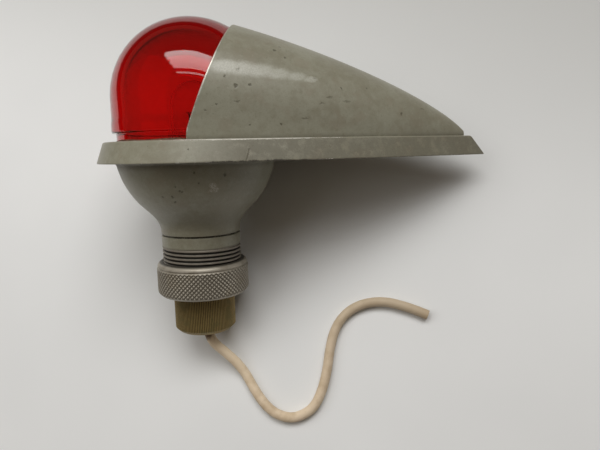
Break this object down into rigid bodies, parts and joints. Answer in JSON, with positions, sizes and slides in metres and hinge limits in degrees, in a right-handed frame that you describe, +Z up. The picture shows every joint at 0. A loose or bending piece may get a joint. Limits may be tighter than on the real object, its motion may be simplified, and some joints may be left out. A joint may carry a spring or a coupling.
{
  "type": "aircraft navigation light",
  "caption": "Streamlined aircraft navigation light: red glass dome faired by a tail cowl on a teardrop flange, with a threaded neck, knurled lock ring, gland nut and lead.",
  "frame": {"origin": "on the surface that the light lies on, under the middle of its box without the lead", "axes": "+X to the tail, +Y from the gland nut to the glass dome, +Z up from the surface; the light lies on its side, on the edge of its flange and on its lock ring"},
  "size_m": [0.1468, 0.1506, 0.0722],
  "materials": {
    "grey_green_paint": "matte grey-green paint on light alloy, worn",
    "screw_steel": "dull steel",
    "red_glass": "deep red polished glass",
    "bedding_compound": "set red-brown jointing compound",
    "black_rubber": "matt",
    "brass": "dull turned brass",
    "moulded_insulator": "brown moulding",
    "copper_core": "bare stranded copper",
    "bulb_base_glass": "black base glass",
    "solder": "dull solder",
    "clear_glass": "clear",
    "support_wire": "drawn wire",
    "bare_grey_metal": "dull knurled metal, oily in the grooves",
    "tarnished_brass": "dark tarnish on fine knurling",
    "lead_insulation": "cream insulation, aged"
  },
  "bodies": {
    "light_body": {"body_casting": "grey_green_paint", "cowl": "grey_green_paint", "cowl_screws": "screw_steel", "glass_dome": "red_glass", "glass_bedding": "bedding_compound"},
    "lampholder": {"holder_base": "brass", "socket_tube": "brass", "insulator_block": "moulded_insulator", "guide_disc": "moulded_insulator", "terminal_post": "brass", "lead_core": "copper_core", "contact_spring": "screw_steel", "holder_seal": "black_rubber", "supply_lead": "lead_insulation"},
    "lock_ring": {"lock_ring": "bare_grey_metal"},
    "packing": {"cable_grommet": "black_rubber", "thrust_washer": "brass"},
    "gland_nut": {"gland_nut": "tarnished_brass"},
    "contact_plunger": {"contact_plunger": "brass"},
    "bulb": {"bulb_cap": "brass", "bulb_pins": "brass", "bulb_base_insulator": "bulb_base_glass", "bulb_contact": "solder", "bulb_glass": "clear_glass", "bulb_stem": "clear_glass", "bulb_supports": "support_wire", "bulb_filament": "support_wire"}
  },
  "joints": [
    {"name": "lampholder_draw", "type": "slide", "parent": "light_body", "child": "lampholder", "axis": [-0.0777, -0.9301, -0.3589], "range_m": [0, 0.0075]},
    {"name": "lock_ring_turn", "type": "hinge", "parent": "lampholder", "child": "lock_ring", "pos_m": [-0.04136, -0.03921, 0.01632], "axis": [-0.0777, -0.9301, -0.3589], "range_deg": [0, 1801]},
    {"name": "packing_draw", "type": "slide", "parent": "lampholder", "child": "packing", "axis": [-0.0777, -0.9301, -0.3589], "range_m": [0, 0.0035]},
    {"name": "gland_nut_turn", "type": "hinge", "parent": "packing", "child": "gland_nut", "pos_m": [-0.04198, -0.04666, 0.01345], "axis": [-0.0777, -0.9301, -0.3589], "range_deg": [0, 1261]},
    {"name": "bulb_push", "type": "slide", "parent": "lampholder", "child": "bulb", "axis": [-0.0777, -0.9301, -0.3589], "range_m": [0, 0.0013], "stiffness_N_per_m": 1500, "springref_m": -0.0015, "deforming": ["contact_spring"]},
    {"name": "plunger_press", "type": "slide", "parent": "lampholder", "child": "contact_plunger", "axis": [-0.0777, -0.9301, -0.3589], "range_m": [0, 0.0013]}
  ],
  "couplings": [
    {"joint": "lock_ring_turn", "follows": "lampholder_draw", "rad_per_m": 4188.8},
    {"joint": "gland_nut_turn", "follows": "packing_draw", "rad_per_m": 6283.2},
    {"joint": "plunger_press", "follows": "bulb_push", "ratio": 1}
  ]
}
